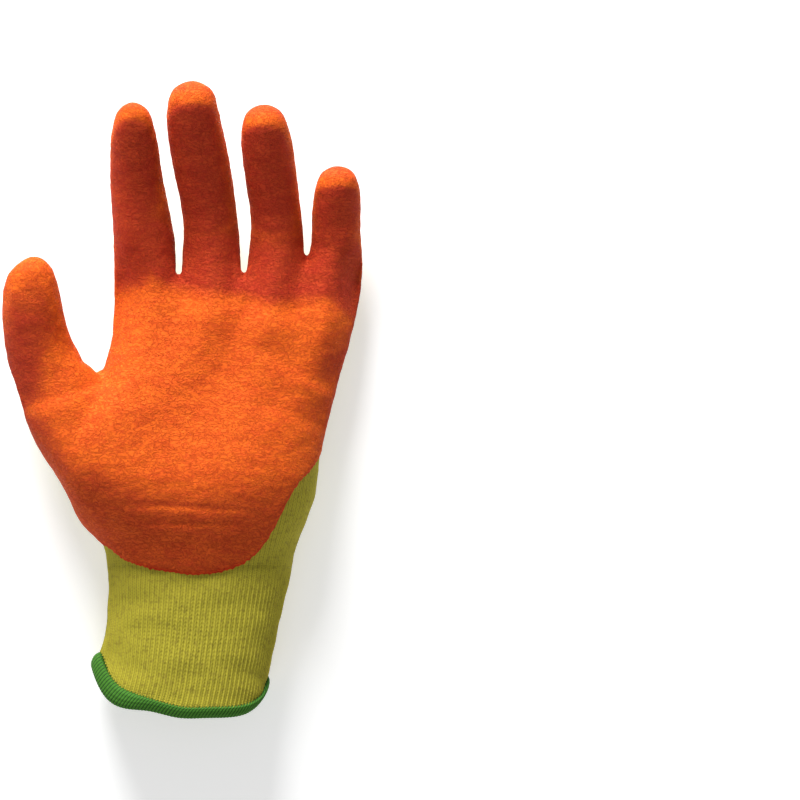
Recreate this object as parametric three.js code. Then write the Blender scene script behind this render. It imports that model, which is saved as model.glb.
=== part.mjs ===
// A left-hand work glove: a seamless knitted liner, a crinkled latex coat dipped
// over its palm and fingertips, and an overlocked cuff edge.
// It lies on its back with the palm up. Lengths are millimetres, +Y runs to the
// fingertips, +X to the little finger's side and +Z out of the palm.
import * as THREE from "three";

// Cuff and palm
const cuffLength = 58; // hem to wrist
const cuffWidth = 70;
const cuffDepth = 29;
const hemWave = 20; // how far the cuff's edge runs up at its highest side
const palmLength = 109; // wrist to the finger roots
const palmWidth = 94.3; // across the finger roots
const palmDepth = 39.5; // at the heel of the hand

// Fingers, measured along the flat from their root to the tip
const indexLength = 69.9;
const indexWidth = 20;
const middleLength = 76.4;
const middleWidth = 20;
const ringLength = 65;
const ringWidth = 18.6;
const littleLength = 38.2;
const littleWidth = 17.5;
const fingerFlatness = 0.86; // depth over width
const fingerRootHeight = 12.8; // height of a finger's middle line at its root

// Thumb
const thumbLength = 66.6;
const thumbWidth = 24.4;
const thumbDepth = 20.5;
const thumbAngle = 104; // degrees from +X to its straight line
const thumbRoll = 24; // degrees that its pad turns towards the fingers
const thumbTwist = 0.5; // share of its length over which it turns
const thumbRootHeight = 18;
const thumbRise = 13; // from its root to its tip
const thumbWeb = 3.5; // how far its crotch stands above the palm's skin beside it

// Walls and clearances
const knitWall = 1.6;
const latexWall = 0.8;
const seatGap = 0.3; // between pieces that touch on the real glove
const rimDraw = 0.2; // how far each part of the liner is drawn back from the next
const hemWall = 0.8;
const hemHeight = 5; // of the overlocked edge on the cuff's face
const hemLift = 2.1; // the cuff's edge above the surface, which the hem fills
const backSettle = 0.6; // how far the soft back gives where it lies

// Where the coat ends
const nailTaper = 0.24; // how much lower the bare patch is cut at a finger's corners
const coatWrap = 2; // how far the coat laps past the middle line of a side

// Roundness of the hand's sections
const plainBox = 2.2; // squareness of an ordinary section: an ellipse has 2
const littleBox = 2.3; // of the little finger's side
const backBox = 3.2; // of the back, which lies flat
const sideHeight = 0.44; // where the sides are widest, as a share of the way up
const valleyDepth = 0.17; // between finger roots on the palm, as a share of the height
const backValley = 0.8; // the same on the back, as a share of the palm's
const cupCentre = 0.47; // of the palm's hollow, as a share of the way across
const cupReach = 0.2; // of the hollow to each side, as a share of the width
const padReach = -0.1; // lowest turn round a finger that counts as its pad, as a sine

const fitRounds = 12; // passes that bring the smooth surface onto the sections
const linesAcross = 9; // knit lines from one side of the hand to the other
const fingerLoop = 8; // knit lines round a finger
const fingerStart = 135; // degrees from a finger's side to its first knit line

// Sections of the cuff, from the hem up. up, width, centre and top are shares of the
// cuff's length, width, width and depth; wave is the share of the hem's wave kept.
const cuffRows = [
  { up: 0, width: 0.955, centre: -0.012, top: 1.03, wave: 1 },
  { up: 0.24, width: 0.921, centre: 0.039, top: 1, wave: 0.85 },
  { up: 0.78, width: 0.98, centre: 0.09, top: 0.985, wave: 0.15 },
  { up: 1, width: 1.024, centre: 0.104, top: 1.015, wave: 0 },
];

// Sections of the palm, from the wrist up, as shares of the palm's sizes. fan is how far
// the knit lines have spread to the fingers, cup the hollow of the palm, box the
// squareness of the thumb's side, dip how much of the finger valleys has begun, and
// rise how much of the roots' slant.
const palmRows = [
  { up: 0.083, width: 0.805, centre: 0.078, top: 0.825, fan: 0, cup: 0, box: 2.2, dip: 0, rise: 0 },
  { up: 0.165, width: 0.928, centre: 0.056, top: 0.925, fan: 0.06, cup: 0.02, box: 2.4, dip: 0, rise: 0 },
  { up: 0.294, width: 1.042, centre: 0.039, top: 1, fan: 0.2, cup: 0.06, box: 3.5, dip: 0, rise: 0 },
  { up: 0.42, width: 1.05, centre: 0.048, top: 0.965, fan: 0.35, cup: 0.1, box: 8, dip: 0, rise: 0 },
  { up: 0.545, width: 1.026, centre: 0.094, top: 0.88, fan: 0.52, cup: 0.1, box: 8, dip: 0, rise: 0.1 },
  { up: 0.665, width: 0.98, centre: 0.155, top: 0.79, fan: 0.7, cup: 0.07, box: 3.5, dip: 0.1, rise: 0.3 },
  { up: 0.835, width: 0.967, centre: 0.219, top: 0.72, fan: 0.88, cup: 0.03, box: 2.2, dip: 0.4, rise: 0.6 },
  { up: 1, width: 1, centre: 0.237, top: 0.66, fan: 1, cup: 0, box: 2.2, dip: 1, rise: 1 },
];
const thumbWebRow = 5; // section that ends at the thumb's crotch
const thumbFirstRow = cuffRows.length + 2; // section at the bottom of the thumb's root
const thumbLastRow = thumbFirstRow + 3;

// The knit lines across the hand at the finger roots: across is a share of the palm's
// width, rise how far the root lies above the palm's top, as a share of its length.
const rootLines = [
  { across: 0.035, rise: -0.018 },
  { across: 0.13, rise: -0.009 },
  { across: 0.2545, rise: 0 },
  { across: 0.388, rise: 0 },
  { across: 0.522, rise: 0.009 },
  { across: 0.65, rise: 0.023 },
  { across: 0.779, rise: 0.05 },
  { across: 0.892, rise: 0.05 },
  { across: 0.973, rise: 0.037 },
];
const webRises = [0.034, 0.039, 0.103]; // the crotches, as rootLines.rise

// Height of the hem's wave round the cuff: the palm side from the thumb's side, the
// little finger's side, the back, and the thumb's side.
const hemShares = [
  0.73, 0.36, 0.19, 0.14, 0.02, 0.01, 0.02, 0.09, 0.28, 0.5,
  0.45, 0.3, 0.225, 0.2, 0.2, 0.25, 0.35, 0.55, 0.8, 0.975,
];

// Fingers. In each row along and lift are shares of the length, width of the width, and
// side how far the middle line leaves the straight one, as a share of the length.
const curl = [
  { along: 0.28, lift: 0.042 },
  { along: 0.56, lift: 0.145 },
  { along: 0.82, lift: 0.29 },
  { along: 0.95, lift: 0.38 },
];
const tipLift = 0.42;
const fingers = [
  {
    name: "knit_index", length: indexLength, width: indexWidth, lean: -0.081, nail: 0.66,
    widths: [1.09, 0.95, 0.8, 0.56], sides: [-0.004, -0.016, -0.011, -0.004],
  },
  {
    name: "knit_middle", length: middleLength, width: middleWidth, lean: -0.103, nail: 0.76,
    widths: [0.985, 1.005, 0.96, 0.775], sides: [0.027, 0.018, -0.001, 0.003],
  },
  {
    name: "knit_ring", length: ringLength, width: ringWidth, lean: -0.055, nail: 0.735,
    widths: [1.01, 0.978, 0.957, 0.73], sides: [0.028, 0.014, -0.005, -0.01],
  },
  {
    name: "knit_little", length: littleLength, width: littleWidth, lean: 0.026, nail: 0.46,
    widths: [1.034, 0.977, 0.89, 0.66], sides: [0.012, 0.012, 0.016, 0.012],
  },
];

// Thumb sections from its root to the tip: along and side are shares of the length,
// width and depth of the thumb's own, lift of its rise, and turn degrees that the
// section faces off the straight line.
const thumbRows = [
  { along: 0.16, side: -0.04, turn: 40, width: 1.44, depth: 1.5, lift: 0.03 },
  { along: 0.42, side: -0.09, turn: 12, width: 1.05, depth: 1.1, lift: 0.22 },
  { along: 0.68, side: -0.079, turn: -8, width: 0.92, depth: 0.98, lift: 0.59 },
  { along: 0.89, side: -0.04, turn: -8, width: 0.72, depth: 0.78, lift: 0.88 },
];
const thumbAcross = -0.435; // of its root, as a share of the palm's width
const thumbUp = 0.5; // of its root, as a share of the palm's length
const thumbNail = 0.63; // where its coat begins on the back, as a share of its length

// The coat's lower edge on the palm: across and up as shares of the palm's sizes.
const coatEdge = [
  { across: -0.6, up: 0.1 },
  { across: -0.33, up: 0.09 },
  { across: -0.25, up: 0.03 },
  { across: -0.12, up: -0.014 },
  { across: 0.06, up: -0.032 },
  { across: 0.2, up: -0.014 },
  { across: 0.32, up: 0.046 },
  { across: 0.398, up: 0.163 },
  { across: 0.463, up: 0.27 },
  { across: 0.5, up: 0.34 },
  { across: 0.582, up: 0.43 },
  { across: 0.8, up: 0.55 },
];

const degrees = Math.PI / 180;
const mix = (a, b, share) => a + (b - a) * share;

// Height of a rounded outline over the share of the way across it.
function crown(share, power) {
  const off = Math.min(1, Math.abs(2 * share - 1));
  return (1 - off ** power) ** (1 / power);
}

// A value between the rows of a table with an across column.
function between(rows, column, across) {
  const next = rows.findIndex((row) => row.across > across);
  if (next === 0) return rows[0][column];
  if (next < 0) return rows[rows.length - 1][column];
  const low = rows[next - 1];
  const high = rows[next];
  const share = (across - low.across) / (high.across - low.across);
  return mix(low[column], high[column], share);
}

// Share of the way across the hand for each knit line, fanned out to the fingers.
function lineShare(line, fan) {
  const turn = ((line + 1) * Math.PI) / (linesAcross + 1);
  return mix((1 - Math.cos(turn)) / 2, rootLines[line].across, fan);
}

// Signed depth inside the coat on the palm and heel, in millimetres: above nought is coated.
function palmCoat(x, y, z, middle) {
  const edge = cuffLength + between(coatEdge, "up", x / palmWidth) * palmLength;
  return Math.min(y - edge, z - middle + coatWrap);
}

// One section of the hand as a loop of points [x, y, z, coat]: the palm side across,
// the little finger's side, the back, and the thumb's side.
function handLoop(row) {
  const { y, centre, width, top, fan, cup, box, dip, rise, wave, bottom, web } = row;
  const middle = mix(bottom, top, sideHeight);
  const points = [];
  const place = (share, isPalm, line) => {
    const x = centre + (share - 0.5) * width;
    const palmBox = share < 0.5 ? box : littleBox;
    const drop = line % 2 === 0 ? dip * valleyDepth * top : 0;
    const hollow = cup * palmDepth * Math.exp(-(((share - cupCentre) / cupReach) ** 2));
    const upper = mix(middle, top, crown(share, palmBox)) - drop - hollow;
    const lower = mix(middle, bottom, crown(share, Math.max(box, backBox))) + drop * backValley;
    const lift = rise * rootLines[line].rise * palmLength;
    const index = isPalm ? line : 2 * linesAcross - line;
    const up = y + lift + wave * hemWave * hemShares[index];
    const z = isPalm ? upper : lower;
    return [x, up, z, palmCoat(x, up, z, middle)];
  };
  const side = (x, line, share, extra) => {
    const up = y + rise * rootLines[line].rise * palmLength + extra;
    return [x, up + wave * hemWave * share, middle, palmCoat(x, up, middle, middle)];
  };
  const lines = rootLines.map((_, line) => line);
  lines.forEach((line) => points.push(place(lineShare(line, fan), true, line)));
  points.push(side(centre + width / 2, linesAcross - 1, hemShares[linesAcross], 0));
  lines.reverse().forEach((line) => points.push(place(lineShare(line, fan), false, line)));
  points.push(side(centre - width / 2, 0, hemShares[hemShares.length - 1], web));
  return points;
}

function handSections() {
  const cuff = cuffRows.map((row) => ({
    y: row.up * cuffLength,
    centre: row.centre * cuffWidth,
    width: row.width * cuffWidth,
    top: row.top * cuffDepth,
    bottom: row.wave * hemLift,
    wave: row.wave,
    fan: 0,
    cup: 0,
    box: plainBox,
    dip: 0,
    rise: 0,
    web: 0,
  }));
  const palm = palmRows.map((row, i) => ({
    y: cuffLength + row.up * palmLength,
    centre: row.centre * palmWidth,
    width: row.width * palmWidth,
    top: row.top * palmDepth,
    bottom: 0,
    wave: 0,
    fan: row.fan,
    cup: row.cup,
    box: row.box,
    dip: row.dip,
    rise: row.rise,
    web: i === thumbWebRow ? thumbWeb : 0,
  }));
  return [...cuff, ...palm].map(handLoop);
}

// Depth inside the coat on a finger: its pad side, or past the bare patch near the tip.
function fingerCoat(side, depth, along, length, nail) {
  const pad = side * depth + coatWrap;
  const corner = Math.max(0, -side);
  const tip = (along - nail + nailTaper * (1 - corner ** 2)) * length;
  return side > padReach ? Math.max(pad, tip) : tip;
}

// Loops of a finger above its root, each [x, y, z, coat], and its tip point.
function fingerSections(finger, root, rootY) {
  const line = (along, lift, side) => {
    const x = root + (finger.lean * along + side) * finger.length;
    const y = rootY + along * finger.length;
    return new THREE.Vector3(x, y, fingerRootHeight + lift * finger.length);
  };
  const middles = curl.map((row, i) => line(row.along, row.lift, finger.sides[i]));
  const tip = line(1, tipLift, 0);
  const all = [line(0, 0, 0), ...middles, tip];
  const loops = curl.map((row, i) => {
    const ahead = all[i + 2].clone().sub(all[i]).normalize();
    const across = new THREE.Vector3(1, 0, 0).addScaledVector(ahead, -ahead.x).normalize();
    const out = across.clone().cross(ahead);
    const halfWidth = (finger.widths[i] * finger.width) / 2;
    const halfDepth = halfWidth * fingerFlatness;
    return Array.from({ length: fingerLoop }, (_, k) => {
      const turn = (fingerStart - (360 / fingerLoop) * k) * degrees;
      const p = middles[i].clone();
      p.addScaledVector(across, Math.cos(turn) * halfWidth);
      p.addScaledVector(out, Math.sin(turn) * halfDepth);
      const coat = fingerCoat(Math.sin(turn), halfDepth, row.along, finger.length, finger.nail);
      return [p.x, p.y, Math.max(p.z, 0), coat];
    });
  });
  return { loops, tip: [tip.x, tip.y, tip.z, (1 - finger.nail) * finger.length] };
}

// Loops of the thumb above its root and its tip point.
function thumbSections() {
  const angle = thumbAngle * degrees;
  const straight = new THREE.Vector3(Math.cos(angle), Math.sin(angle), 0);
  const inward = new THREE.Vector3(Math.sin(angle), -Math.cos(angle), 0);
  const start = new THREE.Vector3(
    thumbAcross * palmWidth,
    cuffLength + thumbUp * palmLength,
    thumbRootHeight,
  );
  const up = new THREE.Vector3(0, 0, 1);
  const at = (row) =>
    start
      .clone()
      .addScaledVector(straight, row.along * thumbLength)
      .addScaledVector(inward, row.side * thumbLength)
      .addScaledVector(up, row.lift * thumbRise);
  const loopLength = 2 * (thumbLastRow - thumbFirstRow + 2);
  const loops = thumbRows.map((row) => {
    const faces = straight.clone().applyAxisAngle(up, row.turn * degrees);
    const across = inward.clone().applyAxisAngle(up, row.turn * degrees);
    const rolled = Math.min(1, row.along / thumbTwist) * thumbRoll * degrees;
    const middle = at(row);
    return Array.from({ length: loopLength }, (_, k) => {
      const turn = Math.PI - ((k + 1) * 2 * Math.PI) / loopLength;
      const x = (Math.cos(turn) * row.width * thumbWidth) / 2;
      const z = (Math.sin(turn) * row.depth * thumbDepth) / 2;
      const offset = across.clone().multiplyScalar(x).addScaledVector(up, z);
      offset.applyAxisAngle(faces, rolled);
      const coat = fingerCoat(Math.sin(turn), thumbDepth / 2, row.along, thumbLength, thumbNail);
      const p = middle.clone().add(offset);
      return [p.x, p.y, Math.max(p.z, 0), coat];
    });
  });
  const tip = at({ along: 1, side: 0, lift: 1 });
  return { loops, tip: [tip.x, tip.y, tip.z, (1 - thumbNail) * thumbLength] };
}

// The whole liner as a coarse net of four-sided faces, each marked with its piece.
function linerNet() {
  const points = [];
  const faces = [];
  const add = (list) => list.map((p) => points.push(p) - 1);
  const bridge = (low, high, piece, isKept = () => true) => {
    low.forEach((_, k) => {
      const next = (k + 1) % low.length;
      if (isKept(k)) faces.push({ ring: [low[k], low[next], high[next], high[k]], piece });
    });
  };
  const close = (loop, tip, piece) => {
    for (let k = 0; k < loop.length; k += 2) {
      faces.push({ ring: [loop[k], loop[k + 1], loop[(k + 2) % loop.length], tip], piece });
    }
  };

  const rows = handSections().map(add);
  const thumbSide = 2 * linesAcross + 1;
  const wristRow = cuffRows.length - 1;
  for (let row = 0; row + 1 < rows.length; row++) {
    const isOpen = row >= thumbFirstRow && row < thumbLastRow;
    const piece = row < wristRow ? "knit_cuff" : "knit_hand";
    bridge(rows[row], rows[row + 1], piece, (k) => !(isOpen && k >= thumbSide - 1));
  }

  const root = rows[rows.length - 1];
  const palmAt = (line) => root[line];
  const backAt = (line) => root[2 * linesAcross - line];
  const webs = webRises.map((rise, i) => {
    const line = 2 * (i + 1);
    const [x] = points[palmAt(line)];
    const y = cuffLength + (1 + rise) * palmLength;
    return add([[x, y, fingerRootHeight, coatWrap]])[0];
  });
  const sides = [root[thumbSide], ...webs, root[linesAcross]];
  fingers.forEach((finger, i) => {
    const line = 2 * i;
    const base = [
      palmAt(line), palmAt(line + 1), palmAt(line + 2), sides[i + 1],
      backAt(line + 2), backAt(line + 1), backAt(line), sides[i],
    ];
    const [rootX, rootY] = points[palmAt(line + 1)];
    const { loops, tip } = fingerSections(finger, rootX, rootY);
    const rings = [base, ...loops.map(add)];
    for (let k = 0; k + 1 < rings.length; k++) bridge(rings[k], rings[k + 1], finger.name);
    close(rings[rings.length - 1], add([tip])[0], finger.name);
  });

  const up = [];
  const down = [];
  for (let row = thumbFirstRow; row <= thumbLastRow; row++) {
    up.push(rows[row][0]);
    down.unshift(rows[row][thumbSide - 1]);
  }
  const base = [...up, rows[thumbLastRow][thumbSide], ...down, rows[thumbFirstRow][thumbSide]];
  const { loops, tip } = thumbSections();
  const rings = [base, ...loops.map(add)];
  for (let k = 0; k + 1 < rings.length; k++) bridge(rings[k], rings[k + 1], "knit_thumb");
  close(rings[rings.length - 1], add([tip])[0], "knit_thumb");

  const isUsed = new Set(faces.flatMap((face) => face.ring));
  const kept = [...isUsed].sort((a, b) => a - b);
  const renumber = new Map(kept.map((old, i) => [old, i]));
  return {
    points: kept.map((old) => points[old]),
    faces: faces.map(({ ring, piece }) => ({ ring: ring.map((v) => renumber.get(v)), piece })),
  };
}

const sum = (lists, width) =>
  lists.reduce((total, list) => total.map((v, i) => v + list[i]), Array(width).fill(0));
const scaled = (list, by) => list.map((v) => v * by);

// Neighbours of every point of a net: edge mates, far corners and open-edge mates.
function neighbourhood(net) {
  const edges = new Map();
  const near = net.points.map(() => new Set());
  const far = net.points.map(() => []);
  const open = net.points.map(() => []);
  net.faces.forEach(({ ring }, face) => {
    ring.forEach((a, k) => {
      const b = ring[(k + 1) % ring.length];
      const key = a < b ? a + "_" + b : b + "_" + a;
      if (!edges.has(key)) edges.set(key, { a, b, faces: [] });
      edges.get(key).faces.push(face);
      near[a].add(b);
      near[b].add(a);
      far[a].push(ring[(k + 2) % ring.length]);
    });
  });
  for (const { a, b, faces } of edges.values()) {
    if (faces.length > 1) continue;
    open[a].push(b);
    open[b].push(a);
  }
  return { edges, near, far, open };
}

// Where each point of a net lands on the smooth surface that the net describes.
function limitPoints(net, around) {
  const { near, far, open } = around;
  return net.points.map((point, v) => {
    const width = point.length;
    if (open[v].length) {
      const mates = sum(open[v].map((w) => net.points[w]), width);
      return sum([scaled(point, 4), mates], width).map((value) => value / 6);
    }
    const n = near[v].size;
    const mates = sum([...near[v]].map((w) => net.points[w]), width);
    const corners = sum(far[v].map((w) => net.points[w]), width);
    const total = sum([scaled(point, n * n), scaled(mates, 4), corners], width);
    return scaled(total, 1 / (n * (n + 5)));
  });
}

// Moves the net's points until its smooth surface passes through where they stood.
function fitted(net) {
  const around = neighbourhood(net);
  let points = net.points;
  for (let round = 0; round < fitRounds; round++) {
    const landed = limitPoints({ points, faces: net.faces }, around);
    points = points.map((p, v) => p.map((value, i) => value + net.points[v][i] - landed[v][i]));
  }
  return { points, faces: net.faces };
}

// One round of subdivision: each face becomes four.
function subdivided(net) {
  const { edges, near, open } = neighbourhood(net);
  const width = net.points[0].length;
  const centres = net.faces.map(({ ring }) =>
    scaled(sum(ring.map((v) => net.points[v]), width), 1 / ring.length));
  const touching = net.points.map(() => []);
  net.faces.forEach(({ ring }, face) => ring.forEach((v) => touching[v].push(face)));
  const moved = net.points.map((point, v) => {
    if (open[v].length) {
      const mates = sum(open[v].map((w) => net.points[w]), width);
      return scaled(sum([scaled(point, 6), mates], width), 1 / 8);
    }
    const n = near[v].size;
    const middle = scaled(sum(touching[v].map((f) => centres[f]), width), 1 / n);
    const mates = scaled(sum([...near[v]].map((w) => net.points[w]), width), 1 / n);
    return scaled(sum([middle, mates, scaled(point, n - 2)], width), 1 / n);
  });
  const points = [...moved];
  const centreAt = centres.map((p) => points.push(p) - 1);
  const edgeAt = new Map();
  for (const [key, { a, b, faces }] of edges) {
    const ends = [net.points[a], net.points[b]];
    const about = faces.length > 1 ? [...ends, ...faces.map((f) => centres[f])] : ends;
    edgeAt.set(key, points.push(scaled(sum(about, width), 1 / about.length)) - 1);
  }
  const middleOf = (a, b) => edgeAt.get(a < b ? a + "_" + b : b + "_" + a);
  const faces = net.faces.flatMap(({ ring, piece }, face) =>
    ring.map((v, k) => {
      const before = ring[(k + ring.length - 1) % ring.length];
      const after = ring[(k + 1) % ring.length];
      return { ring: [v, middleOf(v, after), centreAt[face], middleOf(before, v)], piece };
    }));
  return { points, faces };
}

const vector = (p) => new THREE.Vector3(p[0], p[1], p[2]);

// The smooth outside of the liner: points, outward normals, coat depths and faces.
function linerSurface() {
  const net = subdivided(fitted(linerNet()));
  const around = neighbourhood(net);
  const landed = limitPoints(net, around);
  const points = landed.map(([x, y, z]) => new THREE.Vector3(x, y, Math.max(z - backSettle, 0)));
  const normals = points.map(() => new THREE.Vector3());
  net.faces.forEach(({ ring }) => {
    const [a, b, c, d] = ring.map((v) => points[v]);
    const normal = c.clone().sub(a).cross(d.clone().sub(b));
    ring.forEach((v) => normals[v].add(normal));
  });
  normals.forEach((normal) => normal.normalize());
  return { points, normals, coats: landed.map((p) => p[3]), faces: net.faces, around };
}

// A closed mesh built from flat rings of corners. Corners are shared by index.
function meshOf(name, corners, rings, finish) {
  const positions = corners.flatMap((p) => [p.x, p.y, p.z]);
  const indices = rings.flatMap((ring) =>
    ring.slice(2).flatMap((_, k) => [ring[0], ring[k + 1], ring[k + 2]]));
  const geometry = new THREE.BufferGeometry();
  geometry.setAttribute("position", new THREE.Float32BufferAttribute(positions, 3));
  geometry.setIndex(indices);
  geometry.computeVertexNormals();
  const mesh = new THREE.Mesh(geometry, new THREE.MeshStandardMaterial(finish));
  mesh.name = name;
  return mesh;
}

// Edges with a face on one side only, each as [from, to] in its face's direction.
function openEdges(rings) {
  const seen = new Map();
  rings.forEach((ring) => ring.forEach((a, k) => {
    const b = ring[(k + 1) % ring.length];
    if (!seen.delete(b + "_" + a)) seen.set(a + "_" + b, [a, b]);
  }));
  return [...seen.values()];
}

// Closes a sheet given as outer and inner corners with the same numbering.
function shellOf(name, outer, inner, rings, finish) {
  const shift = outer.length;
  const inside = rings.map((ring) => ring.map((v) => v + shift).reverse());
  const rims = openEdges(rings).map(([a, b]) => [b, a, a + shift, b + shift]);
  return meshOf(name, [...outer, ...inner], [...rings, ...inside, ...rims], finish);
}

// Corners with the ones on the rim moved towards the middle of the faces they bound.
function drawnBack(corners, rings, rim) {
  const mates = corners.map(() => []);
  rings.forEach((ring) => {
    const middle = new THREE.Vector3();
    ring.forEach((v) => middle.addScaledVector(corners[v], 1 / ring.length));
    ring.forEach((v) => mates[v].push(middle));
  });
  return corners.map((corner, v) => {
    if (!rim.has(v)) return corner;
    const inward = new THREE.Vector3();
    mates[v].forEach((middle) => inward.add(middle).sub(corner));
    return corner.clone().add(inward.setLength(rimDraw));
  });
}

// One piece of the liner, with its edges drawn back from its neighbours.
function knitPiece(surface, piece, finish) {
  const own = surface.faces.filter((face) => face.piece === piece);
  const used = [...new Set(own.flatMap((face) => face.ring))];
  const number = new Map(used.map((v, i) => [v, i]));
  const rings = own.map((face) => face.ring.map((v) => number.get(v)));
  const outside = used.map((v) => surface.points[v]);
  const inside = used.map((v, i) =>
    outside[i].clone().addScaledVector(surface.normals[v], -knitWall));
  const rim = new Set(openEdges(rings).flat().filter((v) => !surface.around.open[used[v]].length));
  const outer = drawnBack(outside, rings, rim);
  const inner = drawnBack(inside, rings, rim);
  return shellOf(piece, outer, inner, rings, finish);
}

// Trims a triangle to where the coat depth is above nought. Cuts are shared by key.
function trimmed(triangle, coats, cutAt) {
  const out = [];
  triangle.forEach((a, k) => {
    const b = triangle[(k + 1) % 3];
    if (coats[a] >= 0) out.push(a);
    if (coats[a] * coats[b] < 0) out.push(cutAt(a, b));
  });
  return out;
}

// The latex coat: the liner's skin inside the dip line, lifted off it and thickened.
function latexCoat(surface, finish) {
  const points = [...surface.points];
  const normals = [...surface.normals];
  const coats = [...surface.coats];
  const nearCut = 0.15; // a cut this close to a corner, as a share of the edge, moves there
  for (const { a, b } of surface.around.edges.values()) {
    if (coats[a] * coats[b] >= 0) continue;
    const share = coats[a] / (coats[a] - coats[b]);
    if (share < nearCut) coats[a] = 0;
    else if (share > 1 - nearCut) coats[b] = 0;
  }
  const cuts = new Map();
  const cutAt = (a, b) => {
    const key = Math.min(a, b) + "_" + Math.max(a, b);
    if (!cuts.has(key)) {
      const share = coats[a] / (coats[a] - coats[b]);
      normals.push(normals[a].clone().lerp(normals[b], share));
      cuts.set(key, points.push(points[a].clone().lerp(points[b], share)) - 1);
    }
    return cuts.get(key);
  };
  const rings = surface.faces.flatMap(({ ring: [a, b, c, d] }) =>
    [[a, b, c], [a, c, d]]
      .filter((triangle) => triangle.some((v) => coats[v] > 0))
      .map((triangle) => trimmed(triangle, coats, cutAt)));
  const used = [...new Set(rings.flat())];
  const number = new Map(used.map((v, i) => [v, i]));
  const lifted = (height) => used.map((v) => points[v].clone().addScaledVector(normals[v], height));
  const numbered = rings.map((ring) => ring.map((v) => number.get(v)));
  return shellOf("latex_coat", lifted(seatGap + latexWall), lifted(seatGap), numbered, finish);
}

// The overlocked edge: a ring of thread that wraps the cuff's end on both faces.
function cuffOverlock(surface, finish) {
  const { around, points, normals } = surface;
  const first = around.open.findIndex((mates) => mates.length);
  const loop = [first];
  for (let at = around.open[first][0], from = first; at !== first;) {
    loop.push(at);
    const next = around.open[at].find((v) => v !== from);
    from = at;
    at = next;
  }
  const outerFace = seatGap + hemWall;
  const outside = [
    [outerFace, -hemHeight + hemWall],
    [seatGap, outerFace],
  ];
  const inside = [
    [-seatGap, outerFace],
    [-outerFace, -hemHeight + hemWall],
    [-seatGap, -hemHeight],
    [-seatGap, seatGap],
  ];
  const seat = [
    [seatGap, seatGap],
    [seatGap, -hemHeight],
  ];
  const corners = loop.flatMap((v) => {
    const above = [...around.near[v]].find((w) => !around.open[w].length);
    const back = points[v].clone().addScaledVector(normals[v], -knitWall);
    const backAbove = points[above].clone().addScaledVector(normals[above], -knitWall);
    const face = points[v].clone().sub(points[above]).normalize();
    const backFace = back.clone().sub(backAbove).normalize();
    const set = (from, along) => ([out, past]) =>
      from.clone().addScaledVector(normals[v], out).addScaledVector(along, past);
    const ring = [
      ...outside.map(set(points[v], face)),
      ...inside.map(set(back, backFace)),
      ...seat.map(set(points[v], face)),
    ];
    return ring.map((p) => p.setZ(Math.max(p.z, 0)));
  });
  const side = corners.length / loop.length;
  const rings = loop.flatMap((_, i) => {
    const here = i * side;
    const next = ((i + 1) % loop.length) * side;
    return Array.from({ length: side }, (_, k) => {
      const after = (k + 1) % side;
      return [here + k, next + k, next + after, here + after];
    });
  });
  return meshOf("cuff_overlock", corners, facingOut(corners, rings), finish);
}

// Turns all rings round if the closed surface they make faces inwards.
function facingOut(corners, rings) {
  const volume = rings.reduce((total, ring) => {
    const [a, b, c, d] = ring.map((v) => corners[v]);
    return total + a.dot(b.clone().cross(c)) + a.dot(c.clone().cross(d));
  }, 0);
  return volume < 0 ? rings.map((ring) => [...ring].reverse()) : rings;
}

const knitFinish = { color: 0xc3b43c, roughness: 0.92, metalness: 0 };
const latexFinish = { color: 0xe8561c, roughness: 0.5, metalness: 0 };
const hemFinish = { color: 0x3f9a45, roughness: 0.85, metalness: 0 };

const surface = linerSurface();
const pieces = [...new Set(surface.faces.map((face) => face.piece))];
const glove = new THREE.Group();
pieces.forEach((piece) => glove.add(knitPiece(surface, piece, knitFinish)));
glove.add(latexCoat(surface, latexFinish));
glove.add(cuffOverlock(surface, hemFinish));

// The origin is the middle of the footprint, on the surface that the glove lies on.
const box = new THREE.Box3().setFromObject(glove);
glove.children.forEach((mesh) => {
  mesh.position.set(-(box.min.x + box.max.x) / 2, -(box.min.y + box.max.y) / 2, -box.min.z);
});

export default glove;
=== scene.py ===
import math

import bpy
import numpy as np
from mathutils import Matrix, Vector, noise


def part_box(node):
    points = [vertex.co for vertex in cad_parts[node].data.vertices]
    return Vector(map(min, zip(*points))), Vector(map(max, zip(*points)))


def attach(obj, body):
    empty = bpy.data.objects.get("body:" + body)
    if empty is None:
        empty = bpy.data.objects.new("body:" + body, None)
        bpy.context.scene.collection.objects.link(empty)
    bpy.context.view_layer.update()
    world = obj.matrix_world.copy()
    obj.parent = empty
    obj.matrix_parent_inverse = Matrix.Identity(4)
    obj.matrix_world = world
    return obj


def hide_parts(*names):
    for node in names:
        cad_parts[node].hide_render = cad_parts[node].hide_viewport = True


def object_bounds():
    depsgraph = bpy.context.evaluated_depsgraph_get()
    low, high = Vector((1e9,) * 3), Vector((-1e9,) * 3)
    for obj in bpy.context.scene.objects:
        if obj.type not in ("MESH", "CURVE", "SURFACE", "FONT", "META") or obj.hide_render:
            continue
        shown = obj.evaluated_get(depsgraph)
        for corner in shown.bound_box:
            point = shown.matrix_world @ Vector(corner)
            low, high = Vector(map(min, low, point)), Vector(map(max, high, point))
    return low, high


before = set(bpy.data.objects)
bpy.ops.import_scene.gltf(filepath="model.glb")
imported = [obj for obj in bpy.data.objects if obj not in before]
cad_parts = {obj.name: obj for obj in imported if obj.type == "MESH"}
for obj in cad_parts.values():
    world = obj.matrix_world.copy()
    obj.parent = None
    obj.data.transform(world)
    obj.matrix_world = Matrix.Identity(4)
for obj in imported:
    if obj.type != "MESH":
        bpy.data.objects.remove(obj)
cadLow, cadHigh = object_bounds()
print("frame loaded")

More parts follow.
